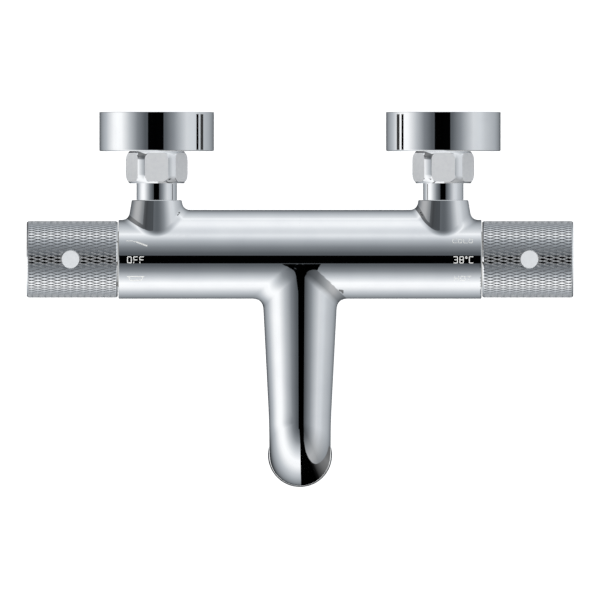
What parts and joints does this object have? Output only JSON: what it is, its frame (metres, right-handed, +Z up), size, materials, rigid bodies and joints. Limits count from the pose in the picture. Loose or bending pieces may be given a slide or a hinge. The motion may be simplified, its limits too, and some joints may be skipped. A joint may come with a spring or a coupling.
{
  "type": "thermostatic bath mixer",
  "caption": "Wall mixer with a knurled temperature handle, a knurled flow and diverter handle, a fixed bath spout, a shower outlet and two shrouded inlets",
  "frame": {"origin": "on the wall's surface, midway between the two inlets and level with their axes", "axes": "+X to the temperature handle on the user's right, +Y into the wall, +Z up"},
  "size_m": [0.286, 0.1965, 0.0652],
  "materials": {
    "chrome": "polished chrome plate on brass",
    "knurled_chrome": "chrome plate on a diamond knurl",
    "nut_chrome": "chrome plate, turned shoulders bright and milled flats satin",
    "button_grey": "moulded light grey plastic, satin",
    "brass": "machined brass",
    "spring_steel": "bright stainless steel",
    "acetal": "moulded natural acetal",
    "ceramic": "lapped alumina ceramic",
    "aerator_mesh": "moulded grey plastic",
    "rubber": "moulded nitrile rubber"
  },
  "bodies": {
    "root": {"body_casting": "chrome", "aerator_housing": "chrome", "aerator_insert": "aerator_mesh", "aerator_washer": "rubber", "shower_nipple": "chrome", "shower_nipple_ring": "rubber", "hot_wall_plate": "brass", "hot_pipe_olive": "brass", "hot_gland_nut": "brass", "hot_shroud": "chrome", "hot_shroud_ring": "rubber", "hot_union_nut": "nut_chrome", "hot_filter_washer": "rubber", "hot_inlet_tail": "chrome", "hot_check_cage": "acetal", "hot_check_spring": "spring_steel", "cold_wall_plate": "brass", "cold_pipe_olive": "brass", "cold_gland_nut": "brass", "cold_shroud": "chrome", "cold_shroud_ring": "rubber", "cold_union_nut": "nut_chrome", "cold_filter_washer": "rubber", "cold_inlet_tail": "chrome", "cold_check_cage": "acetal", "cold_check_spring": "spring_steel", "thermo_housing": "acetal", "thermo_seals": "rubber", "thermo_locknut": "brass", "thermo_stop_ring": "acetal", "thermo_return_spring": "spring_steel", "flow_housing": "acetal", "flow_seals": "rubber", "flow_locknut": "brass", "flow_stop_ring": "acetal", "flow_fixed_disc": "ceramic", "flow_gasket": "rubber"},
    "temp_handle": {"temp_handle_sleeve": "knurled_chrome", "temp_handle_core": "acetal", "temp_handle_screw": "spring_steel", "temp_handle_cap": "chrome", "temp_button_spring": "spring_steel", "thermo_spindle": "brass"},
    "flow_handle": {"flow_handle_sleeve": "knurled_chrome", "flow_handle_core": "acetal", "flow_handle_screw": "spring_steel", "flow_handle_cap": "chrome", "flow_button_spring": "spring_steel", "flow_spindle": "brass", "flow_rotor_disc": "ceramic"},
    "temp_button": {"temp_button": "button_grey"},
    "flow_button": {"flow_button": "button_grey"},
    "hot_poppet": {"hot_check_poppet": "acetal"},
    "cold_poppet": {"cold_check_poppet": "acetal"},
    "shuttle": {"thermo_shuttle": "spring_steel", "thermo_element": "brass"}
  },
  "joints": [
    {"name": "temp_turn", "type": "hinge", "parent": "root", "child": "temp_handle", "pos_m": [0.119, -0.0771, 0], "axis": [1, 0, 0], "range_deg": [-150, 75]},
    {"name": "flow_turn", "type": "hinge", "parent": "root", "child": "flow_handle", "pos_m": [-0.119, -0.0771, 0], "axis": [1, 0, 0], "range_deg": [-90, 90]},
    {"name": "temp_button_press", "type": "slide", "parent": "temp_handle", "child": "temp_button", "axis": [0, 0, -1], "range_m": [0, 0.002], "stiffness_N_per_m": 400, "springref_m": -0.001, "deforming": ["temp_button_spring"]},
    {"name": "flow_button_press", "type": "slide", "parent": "flow_handle", "child": "flow_button", "axis": [0, 0, -1], "range_m": [0, 0.002], "stiffness_N_per_m": 400, "springref_m": -0.001, "deforming": ["flow_button_spring"]},
    {"name": "hot_check_open", "type": "slide", "parent": "root", "child": "hot_poppet", "axis": [0, -1, 0], "range_m": [0, 0.003], "stiffness_N_per_m": 60, "springref_m": -0.002, "deforming": ["hot_check_spring"]},
    {"name": "cold_check_open", "type": "slide", "parent": "root", "child": "cold_poppet", "axis": [0, -1, 0], "range_m": [0, 0.003], "stiffness_N_per_m": 60, "springref_m": -0.002, "deforming": ["cold_check_spring"]},
    {"name": "shuttle_slide", "type": "slide", "parent": "root", "child": "shuttle", "axis": [1, 0, 0], "range_m": [-0.0009, 0.0005], "deforming": ["thermo_return_spring"]}
  ],
  "couplings": [
    {"joint": "shuttle_slide", "follows": "temp_turn", "m_per_rad": 0.000318}
  ]
}
